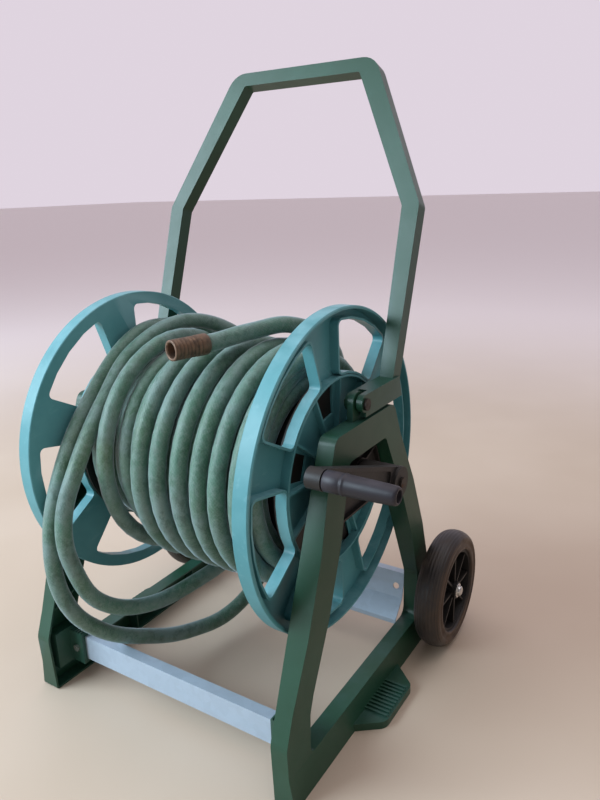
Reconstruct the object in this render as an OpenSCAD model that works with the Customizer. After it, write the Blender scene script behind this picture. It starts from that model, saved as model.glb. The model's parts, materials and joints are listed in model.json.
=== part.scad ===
// Garden hose reel cart: two moulded A-frames carry a reel with a hand crank,
// two wheels on a rod axle and a folding U handle.
// X runs across the cart towards the crank side, Y to the rear, Z up. Millimetres.

/* [Side frames] */
// Distance from the mid-plane to the inner face of a side frame
frame_in = 191.6; // [190:0.2:194]
// Width of a side frame moulding
frame_w = 22; // [20:1:24]
// Wall thickness of the moulding
frame_wall = 3; // [2.5:0.5:4]
// Reach of the step pad beyond the frame
step_reach = 34; // [20:1:36]

/* [Reel] */
// Flange radius
flange_r = 208.6; // [200:0.2:209]
// Inner face of a flange from the mid-plane
flange_in = 161.6; // [161:0.2:162]
// Depth of the flange rim
flange_w = 20.8; // [18:0.2:21]
// Radius of the drum that the hose is wound on
drum_r = 100; // [96:1:100]

/* [Crank] */
// Length of the crank arm between its two axes
crank_len = 195; // [170:5:200]
// Direction of the arm at rest, measured from +Y towards +Z
crank_angle = 158; // [0:1:359]
// Length of the grip
grip_len = 77.6; // [70:0.2:90]

/* [Wheels] */
// Tyre radius
wheel_r = 90; // [84:1:90]
// Tyre width
wheel_w = 40; // [34:1:42]

/* [Handle] */
// Height of the handle's top edge
handle_top = 857.5; // [820:0.5:900]
// Lean of the handle, as rearward run per unit of height
handle_lean = 0.33; // [0.28:0.01:0.36]

/* [Hose] */
// Outside diameter of the hose
hose_d = 22; // [19:1:23]

/* [Hidden] */
$fn = 72;

// overall box, which sets the origin at its bottom centre
cap_out = 275;
grip_in = 260.4;
grip_out = grip_in + grip_len;
foot_front = -3;
axle_y = 395;
axle_z = 90;
place = [-(grip_out - cap_out) / 2, -(foot_front + axle_y + wheel_r) / 2, 0];

// shared positions
reel_y = 198.3;
reel_z = 345;
pivot_y = 197;
pivot_z = 438;
pivot_r = 4;
frame_top = 418;
frame_out = frame_in + frame_w;
foot_out = 221;
bulge_out = 219;
pad_thick = 14;
axle_boss_r = 15;
axle_boss_out = 222;
fit_gap = 0.05;
run_gap = 0.08;
part_gap = 0.3;

// side frame outline, front foot first, as [y, z]
frame_outline = [[0, 0], [424, 0], [424, 84], [403, 130], [277, frame_top],
                 [122, frame_top], [foot_front, 85]];
frame_radii = [4, 4, 20, 30, 18, 14, 30];
opening_outline = [[46, 42], [366, 42], [366, 120], [253, 378], [154, 378], [49, 98]];
opening_radii = [10, 14, 30, 10, 10, 20];

// bars between the frames
front_bar_y = 40;
front_bar_z = 37;
front_bar_h = 37;
front_bar_d = 16;
front_bar_end = 188;
bar_screw_x = 178;
sheet = 1.6;
socket_in = 166;
rear_bar_end = 191.2;

// bearing plate
plate_in = 188.4;
plate_face = 199;
bush_r = 16;
journal_r = 13;
journal_out = 205;
journal_in_hub = journal_out + 35.3;

// reel
web = 3;
window_in = 127;
window_out = 192;
window_lip = 3;
lip_depth = 15;
spoke_step = 60;
spoke_first = 100;
root_in = 74;
root_out = 120;

// wheel
wheel_in = 230;
rim_r = 63;
axle_r = 4;

// crank
arm_in = 243;
arm_out = 256;
hub_r = 20;
hub_out = 260;
grip_boss_r = 11.4;
pin_end = grip_out - 5;
socket_end = grip_out - 8;

// inlet
tube_r = 8;
tube_bore = 5;
swivel_in = 238;
swivel_out = 262;
swivel_thread_r = 13.3;
washer_r = 12.6;
washer_out = 247;
tube_flange = [-244, -241.2];
elbow_x = -115;
elbow_r = 9;

// handle
handle_base = 450;
handle_depth = 22;
handle_front = 280;
handle_tilt = atan(handle_lean);
handle_v = (handle_top - handle_base) / cos(handle_tilt);
foot_low = 419;
foot_side_low = 421.5;

// hose: wound turns, then loose loops on their way over the reel
hose_r = hose_d / 2;
coil_step_x = -100;
coil_r = 161;
coil_r_low = 122;
groove_r = 140.5;
groove = [-76, -44];
coil_end = 156;
tube_sides = 10;
coupling_dir = [-0.27, -0.95, 0];
route_pull = 1.12;
coupling_len = 50;
thread_start = 18;
thread_step = 5;
// The loose loops, from the wound turns to the coupling, as [x, y, z]
route = [[-60, 345, 305], [-60, 358, 360], [-80, 355, 425], [-120, 315, 475], [-142, 245, 500],
         [-145, 165, 490], [-145, 80, 420], [-140, 20, 345], [-140, -10, 260],
         [-130, -10, 175], [-110, 28, 112], [-85, 95, 70], [-65, 160, 48],
         [-45, 228, 47], [-35, 298, 78], [-22, 334, 150], [-15, 350, 235],
         [-25, 372, 315], [-42, 374, 395], [-72, 335, 468], [-108, 255, 507],
         [-120, 155, 485], [-120, 85, 425], [-115, 25, 355], [-115, -6, 290],
         [-110, -4, 225], [-100, 25, 162], [-78, 88, 130], [-50, 170, 137],
         [-25, 240, 160], [0, 310, 192], [30, 360, 260], [60, 375, 340],
         [85, 358, 425], [96, 303, 487], [82, 238, 518], [62, 178, 519],
         [38, 117, 513]];

// ---------- outline functions ----------

function unit(v) = v / norm(v);
function left_of(v) = [-v[1], v[0]];
function before(p, i) = p[(i + len(p) - 1) % len(p)];
function after(p, i) = p[(i + 1) % len(p)];

// a counter-clockwise outline moved inwards by d, or outwards where d is negative
function inset(p, d) = [for (i = [0:len(p) - 1])
    let (u = left_of(unit(p[i] - before(p, i))), v = left_of(unit(after(p, i) - p[i])))
    p[i] + d * (u + v) / (1 + u * v)];

// one corner of an outline as an arc of radius r
function corner(a, b, c, r, n) =
    let (u = unit(a - b), v = unit(c - b), half = acos(u * v) / 2,
         centre = b + unit(u + v) * r / sin(half),
         p = b + u * r / tan(half) - centre, q = b + v * r / tan(half) - centre,
         start = atan2(p[1], p[0]),
         turn = (atan2(q[1], q[0]) - start + 540) % 360 - 180)
    [for (k = [0:n]) centre + r * [cos(start + turn * k / n), sin(start + turn * k / n)]];

// an outline with each corner rounded; a radius of 0 keeps the corner
function rounded(p, radii, n = 5) = [for (i = [0:len(p) - 1])
    each (radii[i] == 0 ? [p[i]] : corner(before(p, i), p[i], after(p, i), radii[i], n))];

function grown(radii, d) = [for (r = radii) r == 0 ? 0 : max(r + d, 1)];

function polar(r, a) = [r * cos(a), r * sin(a)];

// ---------- helpers ----------

// an outline in Y and Z, extruded from x0 to x1
module along_x(x0, x1) {
    translate([x0, 0, 0]) rotate([90, 0, 90]) linear_extrude(x1 - x0) children();
}

// an outline in X and Z, extruded from y0 to y1
module along_y(y0, y1) {
    translate([0, y1, 0]) rotate([90, 0, 0]) linear_extrude(y1 - y0) children();
}

// a round bar along X from x0 to x1 about the line at y, z
module bar_x(x0, x1, r, y, z) {
    translate([x0, y, z]) rotate([0, 90, 0]) cylinder(h = x1 - x0, r = r);
}

// a profile in [radius, x] turned about the line at y, z
module turned(y, z) {
    translate([0, y, z]) rotate([0, 90, 0]) rotate_extrude() children();
}

module at_reel() {
    translate([0, reel_y, reel_z]) children();
}

// the children on the crank side for side 1, mirrored for side -1
module on_side(side) {
    if (side > 0) children();
    else mirror([1, 0, 0]) children();
}

// ---------- side frames ----------

frame_rib_places = [[95, 330, -70], [70, 262, -70], [45, 194, -70], [20, 126, -70],
                    [300, 322, 66], [330, 254, 66], [360, 186, 66],
                    [95, 20, 0], [165, 20, 0], [235, 20, 0], [305, 20, 0],
                    [165, 398, 0], [235, 398, 0]];
screw_spots = [[121, 325], [288, 325], [170, 390], [240, 390]];
screw_r = 2.5;

module frame_ribs() {
    for (p = frame_rib_places) translate([p[0], p[1]]) rotate(p[2])
        translate([-1.25, -40]) square([2.5, 80]);
}

module frame_hollow() {
    along_x(frame_in - 1, frame_out - frame_wall) difference() {
        polygon(rounded(inset(frame_outline, frame_wall), grown(frame_radii, -frame_wall)));
        polygon(rounded(inset(opening_outline, -frame_wall), grown(opening_radii, frame_wall)));
        frame_ribs();
        translate([axle_y, axle_z]) circle(r = axle_boss_r + 1);
        for (p = screw_spots) translate(p) circle(r = 7);
        translate([10, 30]) square([60, 56]);
    }
}

module frame_side_profile() {
    polygon([[frame_in, 0], [foot_out, 0], [frame_out + 1, 42], [frame_out + 0.5, 120],
             [bulge_out, 205], [bulge_out, 290], [frame_out, 370], [frame_out, frame_top],
             [frame_in, frame_top]]);
}

module bar_socket() {
    difference() {
        translate([socket_in, 34, 31]) cube([frame_in - socket_in + 1, 29, 50]);
        translate([socket_in - 1, front_bar_y - part_gap, front_bar_z - part_gap])
            cube([front_bar_end - socket_in + 1.4, front_bar_d + 2 * part_gap,
                  front_bar_h + 2 * part_gap]);
    }
    for (i = [0:4])
        translate([socket_in + 2 + 5 * i, 34, 81]) cube([1.6, 29, 2]);
}

module step_pad() {
    pad = [[140, 0], [290, 0], [252, step_reach], [172, step_reach]];
    root = 7;
    translate([foot_out - root, 0, 0]) linear_extrude(pad_thick - 3)
        polygon([for (p = rounded(pad, [0, 0, 14, 18])) [p[1] + (p[1] > 0 ? root : 0), p[0]]]);
    for (i = [0:9])
        translate([foot_out - root, 178 + 7 * i, pad_thick - 3.5])
            cube([step_reach + root - 3, 3, 3.5]);
}

module handle_lug() {
    ear = 15;
    along_x(195, 203) polygon(rounded([[pivot_y - ear, frame_top - 9],
        [pivot_y + ear, frame_top - 9], [pivot_y + ear, pivot_z + ear],
        [pivot_y - ear, pivot_z + ear]], [0, 0, ear - 0.5, ear - 0.5]));
}

module frame_half() {
    difference() {
        union() {
            difference() {
                intersection() {
                    along_x(frame_in, foot_out) polygon(rounded(frame_outline, frame_radii));
                    along_y(-20, 450) frame_side_profile();
                }
                along_x(frame_in - 1, foot_out + 1)
                    polygon(rounded(opening_outline, opening_radii));
                frame_hollow();
            }
            bar_socket();
            step_pad();
            handle_lug();
            bar_x(frame_out - 4, axle_boss_out, axle_boss_r, axle_y, axle_z);
        }
        bar_x(frame_in - 1, axle_boss_out + 1, axle_r + fit_gap, axle_y, axle_z);
        bar_x(194, 204, pivot_r + fit_gap, pivot_y, pivot_z);
        for (p = screw_spots) bar_x(frame_in - 1, frame_in + 14, screw_r + fit_gap, p[0], p[1]);
        translate([bar_screw_x, 33, front_bar_z + front_bar_h / 2]) rotate([-90, 0, 0])
            cylinder(h = 12, r = screw_r + fit_gap);
    }
}

module side_frame_left() {
    color("darkgreen") on_side(-1) frame_half();
}

module side_frame_right() {
    color("darkgreen") on_side(1) frame_half();
}

// ---------- bars ----------

// a rolled channel, open to the rear
module front_crossbar() {
    color("lightsteelblue") difference() {
        translate([-front_bar_end, front_bar_y, front_bar_z])
            cube([2 * front_bar_end, front_bar_d, front_bar_h]);
        translate([-front_bar_end - 1, front_bar_y + sheet, front_bar_z + sheet])
            cube([2 * front_bar_end + 2, front_bar_d, front_bar_h - 2 * sheet]);
        for (x = [-bar_screw_x, bar_screw_x])
            translate([x, front_bar_y - 1, front_bar_z + front_bar_h / 2]) rotate([-90, 0, 0])
                cylinder(h = sheet + 2, r = screw_r + fit_gap);
    }
}

rear_bar_front = [[382, 109], [370, 109], [361, 70], [337, 45], [337, 38]];
rear_bar_back = [[337 + sheet, 38], [337 + sheet, 44.4], [362.4, 69.3], [371.3, 109 - sheet],
                 [382, 109 - sheet]];
rear_hole = [179, 87];

// a bent plate under the axle
module rear_crossbar() {
    color("lightsteelblue") difference() {
        along_x(-rear_bar_end, rear_bar_end) polygon(concat(rear_bar_front, rear_bar_back));
        for (x = [-rear_hole[0], rear_hole[0]])
            translate([x, 355, rear_hole[1]]) rotate([-90, 0, 0]) cylinder(h = 20, r = 5);
    }
}

module crossbar_screws() {
    color("silver") for (x = [-bar_screw_x, bar_screw_x]) {
        translate([x, 30.8, front_bar_z + front_bar_h / 2]) rotate([-90, 0, 0])
            cylinder(h = 3.1, r = 5);
        translate([x, 33.8, front_bar_z + front_bar_h / 2]) rotate([-90, 0, 0])
            cylinder(h = 12, r = screw_r);
    }
}

// ---------- bearings ----------

plate_outline = [[125, 292], [286, 292], [249, 377.6], [157, 377.6]];
plate_radii = [6, 6, 8, 8];
plate_flange = [[100, 300], [308, 300], [272, 399], [134, 399]];
plate_flange_radii = [14, 14, 14, 14];

module bearing_half() {
    color("#20211f") difference() {
        union() {
            along_x(plate_in, plate_in + 3)
                polygon(rounded(plate_flange, plate_flange_radii));
            along_x(plate_in + 1, plate_face) polygon(rounded(plate_outline, plate_radii));
            bar_x(plate_in - 2, plate_face + 6, bush_r + 5, reel_y, reel_z);
        }
        along_x(plate_in + 5, plate_face + 1) difference() {
            polygon(rounded(inset(plate_outline, 3), grown(plate_radii, -2)));
            translate([reel_y, reel_z]) circle(r = bush_r + 5);
            for (a = [20, 90, 160, 215, 325]) translate([reel_y, reel_z]) rotate(a)
                translate([0, -1.5]) square([110, 3]);
        }
        bar_x(plate_in - 3, plate_face + 7, bush_r + fit_gap, reel_y, reel_z);
        for (p = screw_spots) bar_x(plate_in - 1, plate_in + 4, screw_r + fit_gap, p[0], p[1]);
    }
}

module bearing_plate_left() {
    on_side(-1) bearing_half();
}

module bearing_plate_right() {
    on_side(1) bearing_half();
}

module bearing_plate_screws() {
    color("silver") for (side = [-1, 1], p = screw_spots) on_side(side) {
        bar_x(plate_in - 2.5, plate_in, 4.5, p[0], p[1]);
        bar_x(plate_in - 0.5, frame_in + 13, screw_r, p[0], p[1]);
    }
}

module bush_half() {
    color("ivory") difference() {
        bar_x(plate_in - 2, plate_face + 6, bush_r, reel_y, reel_z);
        bar_x(plate_in - 3, plate_face + 7, journal_r + run_gap, reel_y, reel_z);
    }
}

module bearing_bush_left() {
    on_side(-1) bush_half();
}

module bearing_bush_right() {
    on_side(1) bush_half();
}

// ---------- wheels ----------

module wheel_axle() {
    color("dimgray") bar_x(-272, 272, axle_r, axle_y, axle_z);
}

module axle_washers() {
    color("silver") for (side = [-1, 1]) on_side(side) difference() {
        bar_x(222.2, 223.8, 12, axle_y, axle_z);
        bar_x(222, 224, axle_r + fit_gap, axle_y, axle_z);
    }
}

module axle_caps() {
    color("silver") for (side = [-1, 1]) on_side(side) difference() {
        turned(axle_y, axle_z)
            polygon([[0, 268.6], [11, 268.6], [11, 270], [8, 270.6], [7.4, 273.6],
                     [5.5, cap_out], [0, cap_out]]);
        bar_x(268, 272.2, axle_r + fit_gap, axle_y, axle_z);
    }
}

module hub_half() {
    color("#1c1b1a") difference() {
        union() {
            turned(axle_y, axle_z) polygon([[57, wheel_in + 4], [rim_r, wheel_in + 4],
                [rim_r, wheel_in + wheel_w - 4], [59, wheel_in + wheel_w - 4],
                [57, wheel_in + 22], [12, wheel_in + 26], [12, wheel_in + 19],
                [57, wheel_in + 16]]);
            bar_x(224.2, 268.2, 13, axle_y, axle_z);
            for (a = [0:45:359]) translate([0, axle_y, axle_z]) rotate([a, 0, 0])
                translate([wheel_in + 8, -1.6, 11]) cube([26, 3.2, 47]);
        }
        bar_x(224, 269, axle_r + run_gap, axle_y, axle_z);
    }
}

module wheel_hub_left() {
    on_side(-1) hub_half();
}

module wheel_hub_right() {
    on_side(1) hub_half();
}

module tyre_half() {
    shoulder = 14;
    crown = [for (a = [90:-15:-90])
        [wheel_r - shoulder * (1 - cos(a)) * 0.9, wheel_in + wheel_w / 2 - sin(a) * wheel_w / 2]];
    color("#262321") turned(axle_y, axle_z)
        polygon(concat(crown, [[rim_r + fit_gap, wheel_in + wheel_w - 2],
                               [rim_r + fit_gap, wheel_in + 2]]));
}

module tyre_left() {
    on_side(-1) tyre_half();
}

module tyre_right() {
    on_side(1) tyre_half();
}

// ---------- reel ----------

// the spoke's half width grows outwards, so each window is a tapered sector
function spoke_half(r) = 25 + (r - 140) * 5 / 46;
function window_edge(r) = asin(spoke_half(r) / r);

window_points = concat([polar(window_in, window_edge(window_in))],
    [for (a = [10:10:50]) polar(window_out, a)],
    [polar(window_in, spoke_step - window_edge(window_in)), polar(window_in, 40),
     polar(window_in, 30), polar(window_in, 20)]);
window_radii = [7, 7, 0, 0, 0, 7, 7, 0, 0, 0];

module each_window() {
    for (k = [0:5]) rotate(spoke_first + spoke_step * k) children();
}

module flange_half() {
    rim_t = 4;
    color("mediumturquoise") difference() {
        union() {
            turned(reel_y, reel_z) polygon([[journal_r + fit_gap, flange_in],
                [flange_r - 1, flange_in], [flange_r, flange_in + 1],
                [flange_r, flange_in + flange_w - 1.5], [flange_r - 1.5, flange_in + flange_w],
                [flange_r - rim_t, flange_in + flange_w], [flange_r - rim_t, flange_in + web],
                [window_in - 4, flange_in + web], [window_in - 4, flange_in + lip_depth],
                [window_in - 7, flange_in + lip_depth], [window_in - 7, flange_in + web],
                [44, flange_in + web], [42, flange_in + 12], [journal_r + fit_gap, flange_in + 12]]);
            at_reel() along_x(flange_in, flange_in + lip_depth) each_window()
                polygon(rounded(inset(window_points, -window_lip), grown(window_radii, 3)));
            at_reel() along_x(flange_in, flange_in + 11) each_window() {
                rotate(15) translate([40, -1.5]) square([82, 3]);
                rotate(45) translate([40, -1.5]) square([82, 3]);
            }
        }
        at_reel() along_x(flange_in - 1, flange_in + lip_depth + 1) each_window()
            polygon(rounded(window_points, window_radii));
        at_reel() along_x(flange_in - 1, flange_in + lip_depth + 1) each_window()
            polygon([polar(root_in, -12), polar(root_out, -10), polar(root_out, 0),
                     polar(root_out, 10), polar(root_in, 12)]);
        for (a = [30:60:359]) at_reel() rotate([a + spoke_first, 0, 0])
            translate([flange_in - 1, 30, 0]) rotate([0, 90, 0])
                cylinder(h = 14, r = screw_r + fit_gap);
    }
}

module reel_flange_left() {
    on_side(-1) flange_half();
}

module reel_flange_right() {
    on_side(1) flange_half();
}

module flange_screws() {
    color("silver") for (side = [-1, 1], a = [30:60:359]) on_side(side)
        at_reel() rotate([a + spoke_first, 0, 0]) {
            translate([flange_in + 12, 30, 0]) rotate([0, 90, 0]) cylinder(h = 2.5, r = 4.5);
            translate([flange_in - 6, 30, 0]) rotate([0, 90, 0])
                cylinder(h = 18.2, r = screw_r);
        }
}

// a tube with an end plate that backs each flange
module reel_drum() {
    end_r = 124;
    end_t = 4;
    end_x = flange_in - 0.1;
    color("#232423") difference() {
        union() {
            turned(reel_y, reel_z) polygon([[drum_r - 4, -end_x], [end_r, -end_x],
                [end_r, end_t - end_x], [drum_r, end_t - end_x], [drum_r, end_x - end_t],
                [end_r, end_x - end_t], [end_r, end_x], [drum_r - 4, end_x]]);
            for (side = [-1, 1]) on_side(side) turned(reel_y, reel_z)
                polygon([[journal_r + fit_gap, end_x - 8], [40, end_x - 8], [40, end_x - end_t],
                         [drum_r - 2, end_x - end_t], [drum_r - 2, end_x],
                         [journal_r + fit_gap, end_x]]);
        }
        for (side = [-1, 1], a = [30:60:359]) on_side(side) at_reel()
            rotate([a + spoke_first, 0, 0]) translate([flange_in - 7, 30, 0]) rotate([0, 90, 0])
                cylinder(h = 8, r = screw_r + fit_gap);
        translate([elbow_x, reel_y, reel_z + 80]) cylinder(h = 30, r = elbow_r + 5);
    }
}

module journal_right() {
    color("#2a2b2b") bar_x(flange_in - 20, journal_out + 35, journal_r, reel_y, reel_z);
}

module journal_left() {
    color("#2a2b2b") difference() {
        on_side(-1) bar_x(flange_in - 20, journal_out + 12, journal_r, reel_y, reel_z);
        bar_x(-250, -120, tube_r + fit_gap, reel_y, reel_z);
    }
}

// ---------- water inlet ----------

module inlet_tube() {
    color("goldenrod") difference() {
        union() {
            bar_x(tube_flange[0], -135, tube_r, reel_y, reel_z);
            bar_x(tube_flange[0], tube_flange[1], washer_r, reel_y, reel_z);
        }
        bar_x(-245, -130, tube_bore, reel_y, reel_z);
    }
}

module outlet_elbow() {
    color("goldenrod") difference() {
        union() {
            bar_x(-134.9, elbow_x + elbow_r, 11, reel_y, reel_z);
            translate([elbow_x, reel_y, reel_z]) cylinder(h = 92, r = elbow_r);
        }
        bar_x(-136, elbow_x, tube_bore, reel_y, reel_z);
        translate([elbow_x, reel_y, reel_z]) cylinder(h = 93, r = tube_bore);
    }
}

module inlet_swivel() {
    color("#3a3026") difference() {
        union() {
            bar_x(-swivel_out, -swivel_in, 16, reel_y, reel_z);
            at_reel() for (a = [0:30:359]) rotate([a, 0, 0]) bar_x(-swivel_out + 1,
                -swivel_in - 1, 2.4, 15.6, 0);
        }
        bar_x(-swivel_out - 1, -washer_out - 0.2, swivel_thread_r, reel_y, reel_z);
        bar_x(-washer_out - 1, tube_flange[1] + 0.4, washer_r + part_gap, reel_y, reel_z);
        bar_x(-swivel_out, -swivel_in + 1, tube_r + run_gap, reel_y, reel_z);
    }
}

module inlet_washer() {
    color("#181818") difference() {
        bar_x(-washer_out, tube_flange[0] - 0.2, washer_r, reel_y, reel_z);
        bar_x(-248, -244, tube_bore + 1, reel_y, reel_z);
    }
}

// ---------- crank ----------

module crank_arm() {
    arm_half_hub = hub_r - 1;
    arm_half_grip = 10.5;
    arch = 5;
    arm = [[0, -arm_half_hub], [crank_len, -arm_half_grip], [crank_len, arm_half_grip],
           [crank_len * 0.75, arm_half_grip + arch], [crank_len * 0.4, arm_half_hub + 1],
           [0, arm_half_hub]];
    color("#2b2826") difference() {
        union() {
            at_reel() along_x(arm_in, arm_out) rotate(crank_angle) polygon(arm);
            at_reel() bar_x(journal_out + 1.5, hub_out, hub_r, 0, 0);
            at_reel() rotate([crank_angle, 0, 0]) bar_x(arm_in - 1, hub_out, grip_boss_r, crank_len, 0);
        }
        at_reel() along_x(arm_out - 3, arm_out + 1) rotate(crank_angle)
            polygon(rounded([[26, -12], [crank_len - 22, -8], [crank_len - 22, 8], [26, 13]],
                            [4, 4, 4, 4]));
        at_reel() bar_x(journal_out, journal_in_hub, journal_r + fit_gap, 0, 0);
        at_reel() bar_x(journal_out, hub_out + 2, 3, 0, 0);
        at_reel() rotate([crank_angle, 0, 0]) bar_x(arm_in - 4, hub_out + 2, pivot_r + fit_gap,
            crank_len, 0);
    }
}

module crank_screw() {
    color("silver") at_reel() {
        bar_x(hub_out, hub_out + 3, 7, 0, 0);
        bar_x(journal_in_hub + 0.1, hub_out + 0.1, 2.9, 0, 0);
    }
}

module grip_pin() {
    color("silver") at_reel() rotate([crank_angle, 0, 0]) {
        bar_x(arm_in - 1.2, socket_end, pivot_r, crank_len, 0);
        bar_x(socket_end, pin_end, 5.8, crank_len, 0);
    }
}

module crank_grip() {
    color("#27262b") at_reel() rotate([crank_angle, 0, 0]) translate([0, crank_len, 0])
        difference() {
            turned(0, 0) polygon([[0, grip_in], [11, grip_in], [11, grip_in + 19],
                [11.5, grip_in + 20], [11.5, grip_in + 22], [10.8, grip_in + 23],
                [9.8, grip_out - 3], [9, grip_out - 0.6], [8, grip_out], [0, grip_out]]);
            bar_x(grip_in - 1, socket_end - 0.4, pivot_r + run_gap, 0, 0);
            bar_x(socket_end - 0.5, grip_out + 1, 6.2, 0, 0);
        }
}

// ---------- handle ----------

handle_outline = [[210, -20], [212, 228], [118, handle_v], [-118, handle_v], [-212, 228],
                  [-210, -20], [-191, -20], [-188, 225], [-97, handle_v - 19.5],
                  [97, handle_v - 19.5], [188, 225], [191, -20]];
handle_radii = [2, 14, 30, 30, 14, 2, 2, 5, 3, 3, 5, 2];

// the plane of the U, with its front face at the front
module in_handle_plane() {
    translate([0, handle_front, handle_base]) rotate([90 - handle_tilt, 0, 0])
        translate([0, 0, -handle_depth]) children();
}

module handle_foot() {
    difference() {
        union() {
            along_x(205, frame_out - 0.6) {
                polygon([[pivot_y, foot_side_low], [302, foot_side_low], [294, handle_base],
                         [pivot_y, handle_base]]);
                translate([pivot_y, pivot_z + 1]) circle(r = 11);
            }
            along_x(189.4, 205.1) polygon([[216, foot_low], [298, foot_low],
                                           [292, handle_base], [216, handle_base]]);
            along_x(189.4, 194.4) {
                translate([pivot_y, pivot_z - 6]) square([24, 18]);
                translate([pivot_y, pivot_z + 1]) circle(r = 11);
            }
        }
        bar_x(188, frame_out + 1, pivot_r + run_gap, pivot_y, pivot_z);
    }
}

module handle() {
    color("darkgreen") difference() {
        union() {
            in_handle_plane() linear_extrude(handle_depth)
                polygon(rounded(handle_outline, handle_radii));
            for (side = [-1, 1]) on_side(side) handle_foot();
        }
        in_handle_plane() translate([0, 0, -1]) linear_extrude(handle_depth - 3) difference() {
            polygon(rounded(inset(handle_outline, 3), grown(handle_radii, 0)));
            for (v = [8:52:400]) translate([-240, v]) square([480, 3]);
            for (u = [-60:40:60]) translate([u - 1.5, 300]) square([3, 200]);
            translate([-240, -30]) square([480, 34]);
        }
    }
}

module handle_pivot_bolts() {
    color("silver") for (side = [-1, 1]) on_side(side) {
        bar_x(frame_out - 0.3, frame_out + 2.6, 7.5, pivot_y, pivot_z);
        bar_x(186.2, frame_out, pivot_r, pivot_y, pivot_z);
    }
}

module handle_pivot_nuts() {
    color("silver") for (side = [-1, 1]) on_side(side) difference() {
        translate([186.2, pivot_y, pivot_z]) rotate([0, 90, 0]) cylinder(h = 3, r = 7, $fn = 6);
        bar_x(186, 190, pivot_r + fit_gap, pivot_y, pivot_z);
    }
}

// ---------- hose ----------

module hose_coil() {
    inner = drum_r + part_gap;
    color("seagreen") turned(reel_y, reel_z)
        polygon([[inner, -coil_end], [coil_r_low - 6, -coil_end], [coil_r_low, 6 - coil_end],
                 [coil_r_low, coil_step_x], [coil_r - 6, coil_step_x], [coil_r, coil_step_x + 6],
                 [coil_r, groove[0]], [groove_r, groove[0]], [groove_r, groove[1]],
                 [coil_r, groove[1]], [coil_r, coil_end - 6], [coil_r - 6, coil_end],
                 [inner, coil_end]]);
}

last = len(route) - 1;
function tangent(i) = i == 0 ? route[1] - route[0]
    : i == last ? unit(coupling_dir) * norm(route[last] - route[last - 1])
    : route_pull * (route[i + 1] - route[i - 1]) / 2;

// the route and a point between each pair, on a smooth cubic
path = [for (i = [0:last]) each (i == last ? [route[i]]
    : [route[i], (route[i] + route[i + 1]) / 2 + (tangent(i) - tangent(i + 1)) / 8])];
path_end = len(path) - 1;
function heading(i) = i == 0 ? unit(tangent(0)) : i == path_end ? unit(coupling_dir)
    : unit(path[i + 1] - path[i - 1]);

// a side direction carried along the path without twist
function carried(side, dir) = unit(side - (side * dir) * dir);
sides = [for (i = 0, s = carried([1, 0, 0], heading(0)); i <= path_end;
    i = i + 1, s = i <= path_end ? carried(s, heading(i)) : s) s];

module hose_slack() {
    rings = [for (i = [0:path_end]) let (s = sides[i], t = cross(heading(i), s))
        for (k = [0:tube_sides - 1])
            path[i] + hose_r * (s * cos(360 * k / tube_sides) + t * sin(360 * k / tube_sides))];
    walls = [for (i = [0:path_end - 1], k = [0:tube_sides - 1])
        let (a = i * tube_sides + k, b = i * tube_sides + (k + 1) % tube_sides)
        each [[a, a + tube_sides, b + tube_sides], [a, b + tube_sides, b]]];
    first_cap = [for (k = [0:tube_sides - 1]) k];
    last_cap = [for (k = [tube_sides - 1:-1:0]) path_end * tube_sides + k];
    color("seagreen") polyhedron(points = rings, faces = concat(walls, [first_cap, last_cap]));
}

module hose_coupling() {
    out = unit(coupling_dir);
    threads = [for (k = [0:5]) let (z = thread_start + k * thread_step)
        each [[12.2, z], [13, z + 1], [13, z + 3], [12.2, z + 4]]];
    color("peru") translate(route[last]) rotate([0, acos(out[2]), atan2(out[1], out[0])])
        difference() {
        rotate_extrude() polygon(concat([[0, 0.1], [13.3, 0.1], [13.3, 12], [12.2, 14]],
            threads, [[12.2, coupling_len], [0, coupling_len]]));
        translate([0, 0, 12]) cylinder(h = coupling_len, r = 8.5);
    }
}

translate(place) {
    side_frame_left();
    side_frame_right();
    front_crossbar();
    rear_crossbar();
    crossbar_screws();
    bearing_plate_left();
    bearing_plate_right();
    bearing_plate_screws();
    bearing_bush_left();
    bearing_bush_right();
    wheel_axle();
    axle_washers();
    axle_caps();
    wheel_hub_left();
    wheel_hub_right();
    tyre_left();
    tyre_right();
    reel_drum();
    reel_flange_left();
    reel_flange_right();
    flange_screws();
    journal_left();
    journal_right();
    inlet_tube();
    outlet_elbow();
    crank_arm();
    crank_screw();
    grip_pin();
    crank_grip();
    inlet_swivel();
    inlet_washer();
    handle();
    handle_pivot_bolts();
    handle_pivot_nuts();
    hose_coil();
    hose_slack();
    hose_coupling();
}
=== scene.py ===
"""Garden hose reel cart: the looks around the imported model. Metres, in the model's own frame."""
import json
import math

import bmesh
import bpy
import numpy as np
from mathutils import Matrix, Vector

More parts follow.
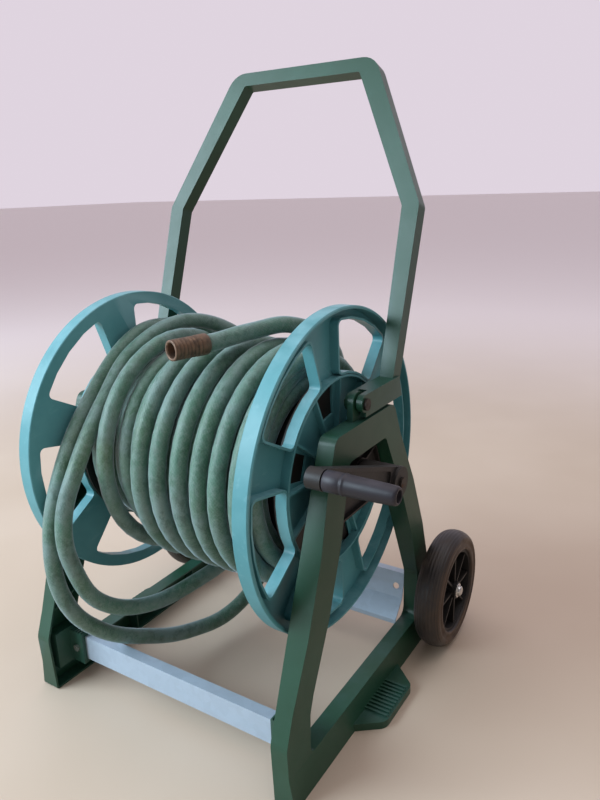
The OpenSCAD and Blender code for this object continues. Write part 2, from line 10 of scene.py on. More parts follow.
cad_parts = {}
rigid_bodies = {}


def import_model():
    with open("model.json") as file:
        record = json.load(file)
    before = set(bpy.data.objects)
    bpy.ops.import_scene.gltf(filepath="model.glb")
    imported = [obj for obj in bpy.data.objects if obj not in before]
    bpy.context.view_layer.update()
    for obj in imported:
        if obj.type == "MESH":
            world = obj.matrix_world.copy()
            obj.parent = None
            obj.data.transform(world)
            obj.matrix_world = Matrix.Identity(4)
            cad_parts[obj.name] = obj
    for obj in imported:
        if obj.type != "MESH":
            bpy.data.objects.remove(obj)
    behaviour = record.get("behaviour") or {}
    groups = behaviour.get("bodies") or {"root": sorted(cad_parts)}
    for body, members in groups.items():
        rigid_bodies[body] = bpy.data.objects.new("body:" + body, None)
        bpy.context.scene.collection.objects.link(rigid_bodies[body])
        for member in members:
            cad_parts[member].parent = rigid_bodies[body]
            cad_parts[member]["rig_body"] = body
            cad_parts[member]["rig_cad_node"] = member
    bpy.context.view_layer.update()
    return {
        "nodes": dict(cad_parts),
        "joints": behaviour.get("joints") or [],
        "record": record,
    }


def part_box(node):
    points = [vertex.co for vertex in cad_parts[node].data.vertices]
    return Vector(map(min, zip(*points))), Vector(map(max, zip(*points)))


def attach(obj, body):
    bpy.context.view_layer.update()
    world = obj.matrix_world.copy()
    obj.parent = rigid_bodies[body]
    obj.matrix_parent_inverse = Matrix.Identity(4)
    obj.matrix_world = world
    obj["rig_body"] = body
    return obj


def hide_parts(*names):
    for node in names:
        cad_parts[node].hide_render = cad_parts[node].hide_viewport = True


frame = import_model()

# ---------- driving places, worked out from the frame ----------

joints = {joint["name"]: Vector(joint["pos_m"]) for joint in frame["joints"]}
REEL = joints["reel_spin"]
GRIP = joints["grip_spin"]
WHEELS = {"left": joints["wheel_left_spin"], "right": joints["wheel_right_spin"]}
HOSE_D = 0.022
HOSE_R = HOSE_D / 2


# ---------- camera ----------

CAMERA_PLACE = (0.5443, -0.7565, 0.690)
CAMERA_HEADING = math.radians(32.67)
CAMERA_PITCH = math.radians(-17.03)
CAMERA_ROLL = math.radians(-1.88)
CAMERA_LENS = 31.19     # millimetres, as the sensor is
CAMERA_SENSOR = 36.0


def make_camera():
    """In front and to the crank side, below the handle's top, looking down and a little rolled."""
    data = bpy.data.cameras.new("camera")
    data.lens = CAMERA_LENS
    data.sensor_width = CAMERA_SENSOR
    camera = bpy.data.objects.new("camera", data)
    turn = (Matrix.Rotation(CAMERA_HEADING, 4, "Z")
            @ Matrix.Rotation(math.pi / 2 + CAMERA_PITCH, 4, "X")
            @ Matrix.Rotation(CAMERA_ROLL, 4, "Z"))
    camera.matrix_world = Matrix.Translation(CAMERA_PLACE) @ turn
    bpy.context.scene.collection.objects.link(camera)
    bpy.context.scene.camera = camera


# ---------- mesh helpers ----------

SLANT = (0.3, 0.2, 1.0)     # a direction that no tube starts along
WELD = 1e-6
CAD_WELD = 2e-5
FLAT_ANGLE = math.radians(1.0)
BEVEL_ANGLE = math.radians(28)
BEVEL_SEGMENTS = 3
NORMAL_WEIGHT = 80


def add_mesh(name, verts, faces, uvs=None, smooth=True):
    """A mesh object; uvs holds one pair for each face corner, in face order."""
    mesh = bpy.data.meshes.new(name)
    mesh.from_pydata([tuple(map(float, v)) for v in verts], [], faces)
    if uvs is not None:
        layer = mesh.uv_layers.new(name="UVMap")
        layer.data.foreach_set("uv", np.asarray(uvs, float).ravel())
    mesh.polygons.foreach_set("use_smooth", [smooth] * len(mesh.polygons))
    mesh.update()
    piece = bpy.data.objects.new(name, mesh)
    bpy.context.scene.collection.objects.link(piece)
    return piece


def carried_frames(points):
    """Headings and twist-free side directions along a line of points."""
    heads = np.gradient(points, axis=0)
    heads /= np.linalg.norm(heads, axis=1)[:, None]
    side = np.cross(heads[0], SLANT)
    sides = []
    for head in heads:
        side = side - head * side.dot(head)
        side /= np.linalg.norm(side)
        sides.append(side)
    sides = np.array(sides)
    return heads, sides, np.cross(heads, sides)


def tube(name, points, radius, around):
    """A round tube along points with flat ends; its UVs are metres along and turns around."""
    points = np.asarray(points, float)
    _, sides, ups = carried_frames(points)
    angle = np.linspace(0, 2 * np.pi, around, endpoint=False)
    ring = (np.cos(angle)[None, :, None] * sides[:, None]
            + np.sin(angle)[None, :, None] * ups[:, None])
    verts = (points[:, None] + radius * ring).reshape(-1, 3)
    along = np.r_[0, np.cumsum(np.linalg.norm(np.diff(points, axis=0), axis=1))]
    faces, uvs = [], []
    for i in range(len(points) - 1):
        for k in range(around):
            a, b = i * around + k, i * around + (k + 1) % around
            faces.append((a, b, b + around, a + around))
            u0, u1 = along[i], along[i + 1]
            v0, v1 = k / around, (k + 1) / around
            uvs += [(u0, v0), (u0, v1), (u1, v1), (u1, v0)]
    for ring_start, step in ((0, -1), ((len(points) - 1) * around, 1)):
        faces.append([ring_start + k for k in range(around)][::step])
        uvs += [(0, 0)] * around
    return add_mesh(name, verts, faces, uvs)


def turned(name, profile, origin, steps=96, closed=False):
    """A profile of (x, radius) turned about the line along X through origin."""
    verts, faces = [], []
    for k in range(steps):
        a = 2 * math.pi * k / steps
        for x, r in profile:
            verts.append((x, r * math.cos(a), r * math.sin(a)))
    count = len(profile)
    spans = count if closed else count - 1
    for k in range(steps):
        for i in range(spans):
            j, m = (i + 1) % count, (k + 1) % steps
            faces.append((k * count + i, m * count + i, m * count + j, k * count + j))
    piece = add_mesh(name, verts, faces)
    clean(piece)
    piece.data.transform(Matrix.Translation(origin))
    return piece


def clean(piece, weld=WELD, merge_flat=False):
    """Welds the mesh, merges its flat faces if asked, and points its faces outwards."""
    work = bmesh.new()
    work.from_mesh(piece.data)
    bmesh.ops.remove_doubles(work, verts=work.verts, dist=weld)
    if merge_flat:
        bmesh.ops.dissolve_limit(work, angle_limit=FLAT_ANGLE, verts=work.verts,
                                 edges=work.edges)
    bmesh.ops.recalc_face_normals(work, faces=work.faces)
    work.to_mesh(piece.data)
    work.free()


def apply_modifiers(piece):
    """The mesh as its modifiers leave it, with none left on the piece."""
    graph = bpy.context.evaluated_depsgraph_get()
    mesh = bpy.data.meshes.new_from_object(piece.evaluated_get(graph))
    piece.modifiers.clear()
    piece.data = mesh


def softened(node, width):
    """A copy of a CAD node with its moulded edges rounded, which replaces it."""
    source = frame["nodes"][node]
    piece = bpy.data.objects.new(node + "_soft", source.data.copy())
    piece.data.materials.clear()
    bpy.context.scene.collection.objects.link(piece)
    clean(piece, weld=CAD_WELD, merge_flat=True)
    bevel = piece.modifiers.new("edges", "BEVEL")
    bevel.width = width
    bevel.segments = BEVEL_SEGMENTS
    bevel.limit_method = "ANGLE"
    bevel.angle_limit = BEVEL_ANGLE
    bevel.use_clamp_overlap = True
    normals = piece.modifiers.new("normals", "WEIGHTED_NORMAL")
    normals.keep_sharp = True
    normals.weight = NORMAL_WEIGHT
    piece.data.polygons.foreach_set("use_smooth", [True] * len(piece.data.polygons))
    apply_modifiers(piece)
    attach(piece, source["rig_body"])
    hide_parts(node)
    return piece


# ---------- the hose ----------

# The loose loops, the same points as the CAD tube, in its own design coordinates in metres
ROUTE = [(-0.060, 0.345, 0.305), (-0.060, 0.358, 0.360), (-0.080, 0.355, 0.425),
         (-0.120, 0.315, 0.475), (-0.142, 0.245, 0.500), (-0.145, 0.165, 0.490),
         (-0.145, 0.080, 0.420), (-0.140, 0.020, 0.345), (-0.140, -0.010, 0.260),
         (-0.130, -0.010, 0.175), (-0.110, 0.028, 0.112), (-0.085, 0.095, 0.070),
         (-0.065, 0.160, 0.048), (-0.045, 0.228, 0.047), (-0.035, 0.298, 0.078),
         (-0.022, 0.334, 0.150), (-0.015, 0.350, 0.235), (-0.025, 0.372, 0.315),
         (-0.042, 0.374, 0.395), (-0.072, 0.335, 0.468), (-0.108, 0.255, 0.507),
         (-0.120, 0.155, 0.485), (-0.120, 0.085, 0.425), (-0.115, 0.025, 0.355),
         (-0.115, -0.006, 0.290), (-0.110, -0.004, 0.225), (-0.100, 0.025, 0.162),
         (-0.078, 0.088, 0.130), (-0.050, 0.170, 0.137), (-0.025, 0.240, 0.160),
         (0.000, 0.310, 0.192), (0.030, 0.360, 0.260), (0.060, 0.375, 0.340),
         (0.085, 0.358, 0.425), (0.096, 0.303, 0.487), (0.082, 0.238, 0.518),
         (0.062, 0.178, 0.519), (0.038, 0.117, 0.513)]
# the middle of the reel's axis in design coordinates, and so where their zero lies in the frame
REEL_IN_DESIGN = (0, 0.1983, 0.345)
DESIGN_ZERO = np.array(REEL) - REEL_IN_DESIGN
COUPLING_DIR = np.array((-0.27, -0.95, 0)) / math.hypot(0.27, 0.95)
ROUTE_PULL = 1.12       # how strongly the route's curves bulge between its points
ROUTE_STEPS = 10        # steps of the smooth line between two points

# The wound hose, leg by leg: turns, where the leg starts and ends along the reel, and its radius
WINDING = [(13.0, 0.145, -0.143, 0.1115), (1.0, -0.143, -0.088, 0.1115),
           (10.3, -0.088, 0.143, 0.1300), (5.6, 0.142, -0.030, 0.1497),
           (0.35, -0.030, -0.088, 0.1497), (0.75, -0.088, -0.0885, 0.1497),
           (0.30, -0.0885, -0.060, 0.1520)]
WINDING_END = -14.7 / 360   # the turn at which the loose loops take over
STEPS_PER_TURN = 40
FEWEST_STEPS = 8
CLIMB_TURNS = 0.5       # turns in which a leg climbs to its own radius
LONG_LEG = 5            # legs of more turns than this sway a little along the reel
OUTER_LAYER_R = 0.14    # layers outside this radius sway more
SWAY_OUTER = 0.0035
SWAY_INNER = 0.0011
SWAY_RATE = 5.1


def smooth_route(points, end_direction):
    """A cubic through the points that leaves them in the given end direction."""
    tangents = np.zeros_like(points)
    tangents[0] = points[1] - points[0]
    tangents[1:-1] = ROUTE_PULL * (points[2:] - points[:-2]) / 2
    tangents[-1] = end_direction * np.linalg.norm(points[-1] - points[-2])
    line = []
    for i in range(len(points) - 1):
        for u in np.linspace(0, 1, ROUTE_STEPS, endpoint=False):
            line.append((2 * u**3 - 3 * u**2 + 1) * points[i]
                        + (u**3 - 2 * u**2 + u) * tangents[i]
                        + (3 * u**2 - 2 * u**3) * points[i + 1]
                        + (u**3 - u**2) * tangents[i + 1])
    line.append(points[-1])
    return np.array(line)


def ease(t):
    return t * t * (3 - 2 * t)


def wound_line():
    """Three layers of turns on the drum, then one turn left of the gap where the loops start."""
    turn = WINDING_END - sum(leg[0] for leg in WINDING)
    radius = WINDING[0][3]
    line = []
    for turns, x_start, x_end, layer in WINDING:
        steps = max(int(turns * STEPS_PER_TURN), FEWEST_STEPS)
        climb = min(CLIMB_TURNS, turns)
        for i in range(steps):
            t = i / steps
            r = radius + (layer - radius) * ease(min(t * turns / climb, 1))
            x = x_start + (x_end - x_start) * (ease(t) if turns <= 1 else t)
            if turns > LONG_LEG:
                sway = SWAY_OUTER if layer > OUTER_LAYER_R else SWAY_INNER
                x += sway * math.sin(SWAY_RATE * (turn + t * turns)) * math.sin(math.pi * t)
            a = 2 * math.pi * (turn + t * turns)
            line.append((x, r * math.cos(a), r * math.sin(a)))
        turn += turns
        radius = layer
    a = 2 * math.pi * WINDING_END
    line.append((ROUTE[0][0], radius * math.cos(a), radius * math.sin(a)))
    return np.array(line) + np.array(REEL)


def make_hose():
    """The wound turns, the loose loops and the fitting on their end."""
    loops = smooth_route(np.array(ROUTE) + DESIGN_ZERO, COUPLING_DIR)
    wound = wound_line()
    slack = tube("hose_loops", loops, HOSE_R, around=24)
    coil = tube("hose_wound", wound, HOSE_R, around=14)
    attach(slack, "root")
    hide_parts("hose_slack")
    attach(coil, "reel")
    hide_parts("hose_coil")
    coupling = make_coupling(loops[-1])
    return coil, slack, coupling


COUPLING_LEN = 0.0500
SLEEVE_R = 0.0132
GROOVE_R = 0.0126       # the groove in the sleeve, and the plain rim at the open end
THREAD_ROOT_R = 0.0119
THREAD_CREST_R = 0.0129
THREAD_START = 0.0178
THREAD_STEP = 0.0050
THREAD_RINGS = 6
COUPLING_BORE = (0.0125, 0.0085)    # where the bore ends, and its radius there


def make_coupling(root):
    """The male end fitting: a crimped sleeve, a rim and a thread, with a dark bore."""
    profile = [(0.0002, 0.0), (0.0002, 0.0124), (0.0012, SLEEVE_R), (0.0100, SLEEVE_R),
               (0.0112, GROOVE_R), (0.0124, GROOVE_R), (0.0132, SLEEVE_R), (0.0150, SLEEVE_R),
               (0.0162, 0.0120)]
    for i in range(THREAD_RINGS):
        x = THREAD_START + i * THREAD_STEP
        profile += [(x, THREAD_ROOT_R), (x + 0.0012, THREAD_CREST_R),
                    (x + 0.0028, THREAD_CREST_R), (x + 0.0042, THREAD_ROOT_R)]
    profile += [(0.0478, THREAD_ROOT_R), (0.0484, GROOVE_R), (0.0494, GROOVE_R),
                (COUPLING_LEN, 0.0118), (COUPLING_LEN, 0.0102), (0.0494, 0.0094),
                (0.0470, 0.0088), COUPLING_BORE, (COUPLING_BORE[0], 0.0)]
    piece = turned("hose_end_fitting", profile, (0, 0, 0), steps=64)
    tilt = Vector((1, 0, 0)).rotation_difference(Vector(COUPLING_DIR)).to_matrix().to_4x4()
    piece.data.transform(Matrix.Translation(Vector(root)) @ tilt)
    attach(piece, "root")
    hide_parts("hose_coupling")
    return piece


# ---------- materials ----------

class Paint:
    """A procedural material: short calls that add nodes and return their sockets."""

    def __init__(self, name, **shader):
        self.material = bpy.data.materials.new(name)
        self.material.use_nodes = True
        self.tree = self.material.node_tree
        self.shader = self.tree.nodes["Principled BSDF"]
        for key, value in shader.items():
            self.shader.inputs[key.replace("_", " ")].default_value = value

    def join(self, value, socket):
        if isinstance(value, bpy.types.NodeSocket):
            self.tree.links.new(value, socket)
        else:
            socket.default_value = value

    def place(self, kind="Object"):
        return self.tree.nodes.new("ShaderNodeTexCoord").outputs[kind]

    def noise(self, scale, detail, rough=0.6, stretch=None):
        node = self.tree.nodes.new("ShaderNodeTexNoise")
        node.inputs["Scale"].default_value = scale
        node.inputs["Detail"].default_value = detail
        node.inputs["Roughness"].default_value = rough
        where = self.place()
        if stretch:
            where = self.scaled(where, stretch)
        self.join(where, node.inputs["Vector"])
        return node.outputs["Fac"]

    def scaled(self, where, factors):
        node = self.tree.nodes.new("ShaderNodeMapping")
        node.inputs["Scale"].default_value = factors
        self.join(where, node.inputs["Vector"])
        return node.outputs["Vector"]

    def cells(self, scale):
        node = self.tree.nodes.new("ShaderNodeTexVoronoi")
        node.inputs["Scale"].default_value = scale
        self.join(self.place(), node.inputs["Vector"])
        return node.outputs["Color"]

    def ramp(self, value, low, high):
        node = self.tree.nodes.new("ShaderNodeMapRange")
        node.interpolation_type = "SMOOTHSTEP"
        self.join(value, node.inputs["Value"])
        node.inputs["From Min"].default_value = low
        node.inputs["From Max"].default_value = high
        return node.outputs["Result"]

    def math(self, operation, a, b=0.0):
        node = self.tree.nodes.new("ShaderNodeMath")
        node.operation = operation
        self.join(a, node.inputs[0])
        self.join(b, node.inputs[1])
        return node.outputs[0]

    def mix(self, amount, a, b):
        node = self.tree.nodes.new("ShaderNodeMix")
        node.data_type = "RGBA"
        self.join(amount, node.inputs["Factor"])
        self.join(a, node.inputs["A"])
        self.join(b, node.inputs["B"])
        return node.outputs["Result"]

    def veil(self, shade, mask, amount, tone):
        """The shade with a tone laid over it through a mask, at most by the amount."""
        return self.mix(self.math("MULTIPLY", mask, amount), shade, tone)

    def split(self, vector):
        node = self.tree.nodes.new("ShaderNodeSeparateXYZ")
        self.join(vector, node.inputs[0])
        return node.outputs

    def length(self, vector):
        node = self.tree.nodes.new("ShaderNodeVectorMath")
        node.operation = "LENGTH"
        self.join(vector, node.inputs[0])
        return node.outputs["Value"]

    def pointiness(self):
        return self.tree.nodes.new("ShaderNodeNewGeometry").outputs["Pointiness"]

    def normal(self, axis):
        return self.split(self.tree.nodes.new("ShaderNodeNewGeometry").outputs["Normal"])[axis]

    def colour(self, value):
        self.join(value, self.shader.inputs["Base Color"])

    def roughness(self, value, low, high):
        node = self.tree.nodes.new("ShaderNodeMapRange")
        self.join(value, node.inputs["Value"])
        node.inputs["To Min"].default_value = low
        node.inputs["To Max"].default_value = high
        self.join(node.outputs["Result"], self.shader.inputs["Roughness"])

    def bump(self, height, distance, strength):
        node = self.tree.nodes.new("ShaderNodeBump")
        node.inputs["Distance"].default_value = distance
        node.inputs["Strength"].default_value = strength
        self.join(height, node.inputs["Height"])
        self.tree.links.new(node.outputs["Normal"], self.shader.inputs["Normal"])


def moulded(name, base, worn, dust_and_highlight, rough):
    """Moulded plastic: broad fading, dust on what faces up, convex edges painted paler as a
    painted highlight, and fine grain.
    """
    paint = Paint(name, Specular_IOR_Level=0.35)
    fade = paint.ramp(paint.noise(7.0, 5.0), 0.35, 0.75)
    # painted highlight: convex edges made paler in the dust tone, standing in for light catching
    # the rounded edges
    edge_highlight = paint.ramp(paint.pointiness(), 0.515, 0.60)
    up = paint.ramp(paint.normal("Z"), 0.4, 1.0)
    dust = paint.math("MULTIPLY", up, paint.ramp(paint.noise(30.0, 6.0), 0.3, 0.8))
    scuff = paint.ramp(paint.noise(90.0, 3.0, stretch=(1.0, 0.25, 1.0)), 0.60, 0.78)
    shade = paint.mix(fade, base, worn)
    # dust and scuffs are real wear; the edge mask lays on a painted highlight
    for mask, amount in ((dust, 0.55), (edge_highlight, 0.45), (scuff, 0.18)):
        shade = paint.veil(shade, mask, amount, dust_and_highlight)
    paint.colour(shade)
    paint.roughness(paint.noise(24.0, 4.0), *rough)
    paint.bump(paint.noise(1400.0, 2.0), 0.00012, 0.5)
    return paint.material


BRAID_PITCH = 0.0046    # along the hose
BRAID_STRANDS = 16      # around it


def hose_rubber():
    """Faded green rubber: mottled, with a fine braid showing through and a chalky bloom."""
    paint = Paint("hose_rubber", Roughness=0.5, Sheen_Weight=0.5, Sheen_Roughness=0.4,
                  Sheen_Tint=(0.70, 0.86, 1.0, 1))
    axes = paint.split(paint.place("UV"))
    along = paint.math("MULTIPLY", axes["X"], 2 * math.pi / BRAID_PITCH)
    around = paint.math("MULTIPLY", axes["Y"], 2 * math.pi * BRAID_STRANDS)
    one = paint.math("SINE", paint.math("ADD", along, around))
    two = paint.math("SINE", paint.math("SUBTRACT", along, around))
    weave = paint.ramp(paint.math("MAXIMUM", one, two), 0.2, 1.0)
    patches = paint.ramp(paint.noise(11.0, 5.0), 0.36, 0.66)
    olive = paint.ramp(paint.noise(5.0, 3.0), 0.48, 0.70)
    specks = paint.ramp(paint.noise(130.0, 6.0, 0.8), 0.45, 0.62)
    dashes = paint.ramp(paint.noise(85.0, 6.0, 0.8, stretch=(1.0, 0.5, 0.5)), 0.49, 0.62)
    bloom = paint.ramp(paint.noise(13.0, 6.0), 0.42, 0.68)
    grime = paint.ramp(paint.noise(22.0, 6.0), 0.56, 0.76)
    shade = paint.mix(patches, (0.038, 0.120, 0.064, 1), (0.070, 0.175, 0.126, 1))
    for mask, amount, tone in ((olive, 0.60, (0.085, 0.135, 0.058, 1)),
                               (bloom, 0.45, (0.205, 0.275, 0.305, 1)),
                               (weave, 0.20, (0.150, 0.230, 0.190, 1)),
                               (specks, 0.55, (0.175, 0.255, 0.225, 1)),
                               (dashes, 0.50, (0.022, 0.070, 0.042, 1)),
                               (grime, 0.40, (0.045, 0.050, 0.034, 1))):
        shade = paint.veil(shade, mask, amount, tone)
    paint.colour(shade)
    paint.roughness(specks, 0.42, 0.66)
    paint.bump(paint.math("ADD", weave, specks), 0.00022, 0.5)
    return paint.material


def zinc():
    """Hot-dipped zinc: pale, with soft spangle and faint streaks."""
    paint = Paint("galvanised_steel", Metallic=0.3)
    spangle = paint.cells(110.0)
    tone = paint.math("MULTIPLY", paint.split(spangle)["X"], 0.35)
    streak = paint.ramp(paint.noise(14.0, 4.0, stretch=(0.3, 1, 3)), 0.4, 0.8)
    shade = paint.mix(tone, (0.40, 0.50, 0.60, 1), (0.31, 0.39, 0.47, 1))
    shade = paint.veil(shade, streak, 0.35, (0.33, 0.37, 0.40, 1))
    paint.colour(shade)
    paint.roughness(paint.noise(60.0, 4.0), 0.36, 0.58)
    paint.bump(paint.noise(300.0, 3.0), 0.00008, 0.4)
    return paint.material


def steel(name, tone, rough=(0.22, 0.42), rust=0.15):
    """Plated or plain steel with a little dulling and rust."""
    paint = Paint(name, Metallic=0.9)
    dull = paint.ramp(paint.noise(120.0, 5.0), 0.45, 0.75)
    stain = paint.ramp(paint.noise(60.0, 6.0), 0.55, 0.75)
    shade = paint.mix(dull, tone, tuple(0.6 * c for c in tone[:3]) + (1,))
    shade = paint.veil(shade, stain, rust, (0.22, 0.09, 0.035, 1))
    paint.colour(shade)
    paint.roughness(dull, *rough)
    paint.bump(paint.noise(900.0, 2.0), 0.00005, 0.4)
    return paint.material


def bronze(name, tone, dark):
    """Brass left outdoors: brown, brighter on its crests."""
    paint = Paint(name, Metallic=0.55)
    tarnish = paint.ramp(paint.noise(140.0, 6.0), 0.35, 0.7)
    crest = paint.ramp(paint.pointiness(), 0.52, 0.62)
    shade = paint.mix(tarnish, tone, dark)
    shade = paint.veil(shade, crest, 0.5, (0.38, 0.27, 0.20, 1))
    paint.colour(shade)
    paint.roughness(tarnish, 0.42, 0.62)
    paint.bump(paint.noise(700.0, 3.0), 0.0001, 0.5)
    return paint.material


def tyre_rubber():
    """Solid rubber, brownish with dust worked into it."""
    paint = Paint("tyre_rubber", Specular_IOR_Level=0.4)
    dust = paint.ramp(paint.noise(35.0, 6.0), 0.42, 0.75)
    band = paint.ramp(paint.noise(10.0, 3.0), 0.4, 0.7)
    shade = paint.mix(band, (0.016, 0.013, 0.012, 1), (0.032, 0.023, 0.018, 1))
    shade = paint.veil(shade, dust, 0.40, (0.085, 0.056, 0.036, 1))
    side = paint.ramp(paint.math("ABSOLUTE", paint.normal("X")), 0.45, 0.95)
    stain = paint.math("MULTIPLY", side, paint.ramp(paint.noise(26.0, 5.0), 0.15, 0.75))
    shade = paint.veil(shade, stain, 0.75, (0.085, 0.048, 0.026, 1))
    paint.colour(shade)
    paint.roughness(dust, 0.42, 0.68)
    paint.bump(paint.noise(500.0, 4.0), 0.00012, 0.5)
    return paint.material


# the last colour of each moulded plastic is its dust tone, which also paints the highlight on its
# edges
MATERIALS = {
    "green_plastic": moulded("green_plastic", (0.010, 0.048, 0.024, 1),
                             (0.016, 0.066, 0.038, 1), (0.034, 0.090, 0.078, 1), (0.28, 0.46)),
    "aqua_plastic": moulded("aqua_plastic", (0.065, 0.235, 0.260, 1),
                            (0.110, 0.315, 0.345, 1), (0.260, 0.480, 0.530, 1), (0.30, 0.48)),
    "black_plastic": moulded("black_plastic", (0.008, 0.008, 0.008, 1),
                             (0.014, 0.012, 0.011, 1), (0.030, 0.025, 0.020, 1), (0.38, 0.58)),
    "grip_plastic": moulded("grip_plastic", (0.010, 0.009, 0.013, 1),
                            (0.016, 0.014, 0.019, 1), (0.045, 0.040, 0.050, 1), (0.34, 0.52)),
    "bush_plastic": moulded("bush_plastic", (0.50, 0.47, 0.40, 1),
                            (0.40, 0.37, 0.30, 1), (0.30, 0.26, 0.20, 1), (0.4, 0.6)),
    "seal_rubber": moulded("seal_rubber", (0.012, 0.012, 0.012, 1),
                           (0.018, 0.018, 0.018, 1), (0.05, 0.05, 0.05, 1), (0.5, 0.7)),
    "hose_rubber": hose_rubber(),
    "galvanised_steel": zinc(),
    "screw_steel": steel("screw_steel", (0.62, 0.62, 0.60, 1)),
    "axle_steel": steel("axle_steel", (0.045, 0.038, 0.033, 1), (0.45, 0.65), 0.5),
    "brass": bronze("brass", (0.55, 0.38, 0.16, 1), (0.35, 0.24, 0.12, 1)),
    "bronze": bronze("bronze", (0.150, 0.090, 0.055, 1), (0.075, 0.050, 0.035, 1)),
    "tyre_rubber": tyre_rubber(),
}


def finish_with(piece, slot_name):
    """Gives a piece the material of the named slot."""
    piece.data.materials.clear()
    piece.data.materials.append(MATERIALS[slot_name])


# ---------- moulded parts with rounded edges ----------

# the width of each node's rounding
SOFT_EDGES = {
    "side_frame_left": 0.0022, "side_frame_right": 0.0022, "handle": 0.0024,
    "reel_flange_left": 0.0008, "reel_flange_right": 0.0008,
    "crank_arm": 0.0012, "bearing_plate_left": 0.0007, "bearing_plate_right": 0.0007,
    "wheel_hub_left": 0.0007, "wheel_hub_right": 0.0007, "front_crossbar": 0.0005,
    "rear_crossbar": 0.0005, "inlet_swivel": 0.0005, "axle_caps": 0.0004,
}


def make_soft_edges():
    """Rounds the moulded nodes, and gives every CAD node that still shows its material."""
    slots = {part["node"]: part["material_slot"] for part in frame["record"]["subparts"]}
    for node, width in SOFT_EDGES.items():
        finish_with(softened(node, width), slots[node])
    for node, piece in frame["nodes"].items():
        if not piece.hide_render:
            finish_with(piece, slots[node])


# ---------- turned parts ----------

TYRE_BEAD_R = 0.0632
TYRE_CROWN_DROP = 0.0126    # how far the crown falls to its shoulders
TYRE_LINE_DEPTH = 0.0007
CROWN_STEPS = 48
SHOULDER_STEPS = 8          # steps at each end of the crown that carry no lines
LINE_EVERY = 4              # steps from one line to the next
# a side wall's outline from the shoulder to the bead, as inset from the widest point, and radius
TYRE_WALL = [(0.0004, 0.0765), (0.0014, 0.0745), (0.0014, 0.0700), (0.0002, 0.0685),
             (0.0004, 0.0645), (0.0022, TYRE_BEAD_R)]


def make_tyre(side):
    """A solid tyre: rounded crown, fine circumferential lines and a raised sidewall band."""
    low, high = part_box("tyre_" + side)
    centre = WHEELS[side]
    radius = (high.z - low.z) / 2
    half = (high.x - low.x) / 2
    middle = (high.x + low.x) / 2
    profile = []
    for k in range(CROWN_STEPS + 1):
        a = math.radians(90 - 180 * k / CROWN_STEPS)
        x = -half * math.sin(a)
        r = radius - TYRE_CROWN_DROP * (1 - math.cos(a))
        if SHOULDER_STEPS <= k <= CROWN_STEPS - SHOULDER_STEPS and k % LINE_EVERY == 0:
            r -= TYRE_LINE_DEPTH
        profile.append((x, r))
    profile += [(half - inset, r) for inset, r in TYRE_WALL]
    profile += [(inset - half, r) for inset, r in reversed(TYRE_WALL)]
    piece = turned("tyre_tread_" + side, profile, (middle, centre.y, centre.z), closed=True)
    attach(piece, "wheel_" + side)
    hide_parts("tyre_" + side)
    finish_with(piece, "tyre_rubber")


GRIP_BORE_R = 0.0042
GRIP_SLEEVE_START = 0.0250
GRIP_SLEEVE_CUT = 0.0285    # the length at both ends together that the sleeve leaves out
GRIP_SLEEVE_STEPS = 8
# outlines as distance from the grip's inner end or its outer end, and radius
GRIP_COLLAR = [(0.0, GRIP_BORE_R), (0.0, 0.0100), (0.0012, 0.0110), (0.0175, 0.0110),
               (0.0185, 0.0105), (0.0198, 0.0105), (0.0208, 0.0114), (0.0224, 0.0114),
               (0.0236, 0.0108), (GRIP_SLEEVE_START, 0.0107)]
GRIP_TIP = [(0.0020, 0.0092), (0.0007, 0.0085), (0.0, 0.0076), (0.0, 0.0064),
            (0.0010, 0.0062), (0.0085, 0.0062), (0.0085, GRIP_BORE_R)]


def make_grip():
    """A tapered grip with a ridged collar at its root and a soft domed end."""
    low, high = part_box("crank_grip")
    start, end = low.x, high.x
    profile = [(start + x, r) for x, r in GRIP_COLLAR]
    for k in range(1, GRIP_SLEEVE_STEPS + 1):
        t = k / GRIP_SLEEVE_STEPS
        profile.append((start + GRIP_SLEEVE_START + t * (end - start - GRIP_SLEEVE_CUT),
                        0.0107 - 0.0012 * t + 0.0003 * math.sin(math.pi * t)))
    profile += [(end - x, r) for x, r in GRIP_TIP]
    piece = turned("crank_grip_sleeve", profile, (0, GRIP.y, GRIP.z), steps=72, closed=True)
    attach(piece, "grip")
    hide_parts("crank_grip")
    finish_with(piece, "grip_plastic")


# ---------- room and light ----------

FLOOR_REACH = 40
# each light: name, place, what it faces, size, power in watts, colour
LIGHTS = [
    ("window", (-1.9, -2.2, 1.8), (0, 0, 0.4), (2.2, 1.8), 165, (0.70, 0.87, 1.0)),
    ("ceiling", (0.2, 0.2, 3.0), (0, 0, 0.3), (3.0, 3.0), 30, (1.0, 0.95, 0.92)),
    ("fill", (2.6, -1.2, 1.2), (0, 0, 0.4), (2.0, 1.6), 6, (1.0, 0.91, 0.80)),
]
BRIGHT_SIDE = (-0.75, 0.50, 0.20)
DIM_SURROUND = (0.24, 0.22, 0.23, 1)
BRIGHT_SURROUND = (0.74, 0.66, 0.74, 1)
SURROUND_FADE = (-0.5, 0.45)    # from fully dim to fully bright, along the bright side
FLOOR_FADE = (0.9, 3.2)         # metres from the cart at which the floor starts and ends to pale


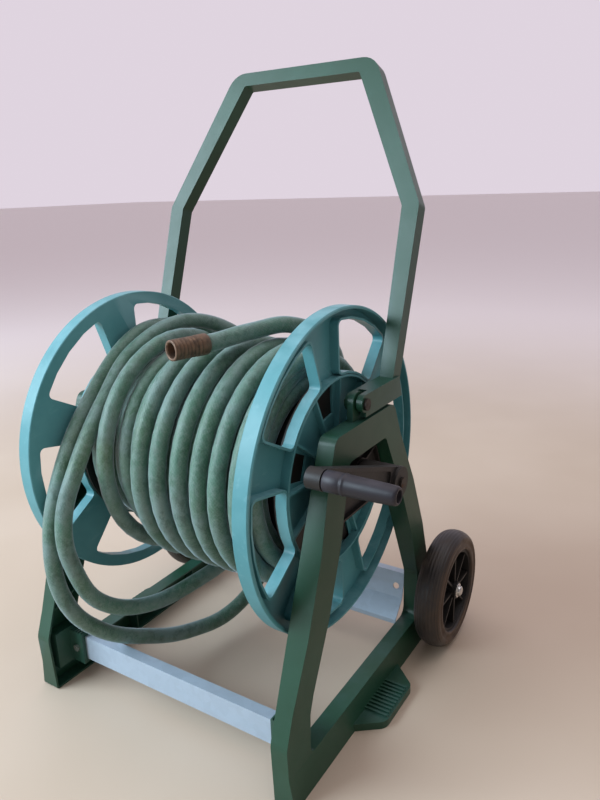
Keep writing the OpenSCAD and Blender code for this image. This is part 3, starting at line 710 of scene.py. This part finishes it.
def make_stage():
    """A plain floor that fades to pale away from the cart."""
    corners = [(FLOOR_REACH * x, FLOOR_REACH * y, 0)
               for x, y in ((-1, -1), (1, -1), (1, 1), (-1, 1))]
    floor = add_mesh("floor", corners, [(0, 1, 2, 3)], smooth=False)
    paint = Paint("floor_paint", Roughness=0.55)
    tone = paint.ramp(paint.noise(1.6, 3.0), 0.35, 0.7)
    shade = paint.mix(tone, (0.52, 0.42, 0.32, 1), (0.56, 0.46, 0.36, 1))
    away = paint.ramp(paint.length(paint.place()), *FLOOR_FADE)
    paint.colour(paint.mix(away, shade, (0.88, 0.80, 0.78, 1)))
    floor.data.materials.append(paint.material)


def area_light(name, place, target, size, power, colour):
    """A rectangular light at a place, turned to face its target."""
    data = bpy.data.lights.new(name, "AREA")
    data.shape = "RECTANGLE"
    data.size, data.size_y = size
    data.energy = power
    data.color = colour
    lamp = bpy.data.objects.new(name, data)
    lamp.location = place
    lamp.rotation_euler = (Vector(target) - Vector(place)).to_track_quat("-Z", "Y").to_euler()
    bpy.context.scene.collection.objects.link(lamp)


def make_lights():
    for light in LIGHTS:
        area_light(*light)
    make_world(BRIGHT_SIDE, DIM_SURROUND, BRIGHT_SURROUND)
    bpy.context.scene.view_settings.view_transform = "Standard"


def make_world(bright_side, dim, bright):
    """A plain pale surround that is dimmer away from its bright side."""
    world = bpy.data.worlds.new("world")
    world.use_nodes = True
    tree = world.node_tree
    facing = tree.nodes.new("ShaderNodeVectorMath")
    facing.operation = "DOT_PRODUCT"
    tree.links.new(tree.nodes.new("ShaderNodeTexCoord").outputs["Generated"], facing.inputs[0])
    facing.inputs[1].default_value = bright_side
    fall = tree.nodes.new("ShaderNodeMapRange")
    fall.interpolation_type = "SMOOTHSTEP"
    fall.inputs["From Min"].default_value, fall.inputs["From Max"].default_value = SURROUND_FADE
    tree.links.new(facing.outputs["Value"], fall.inputs["Value"])
    mix = tree.nodes.new("ShaderNodeMix")
    mix.data_type = "RGBA"
    tree.links.new(fall.outputs["Result"], mix.inputs["Factor"])
    mix.inputs["A"].default_value = dim
    mix.inputs["B"].default_value = bright
    tree.links.new(mix.outputs["Result"], tree.nodes["Background"].inputs["Color"])
    bpy.context.scene.world = world


make_camera()
coil, slack, coupling = make_hose()
make_soft_edges()
for side in ("left", "right"):
    make_tyre(side)
make_grip()
finish_with(coil, "hose_rubber")
finish_with(slack, "hose_rubber")
finish_with(coupling, "bronze")
make_stage()
make_lights()
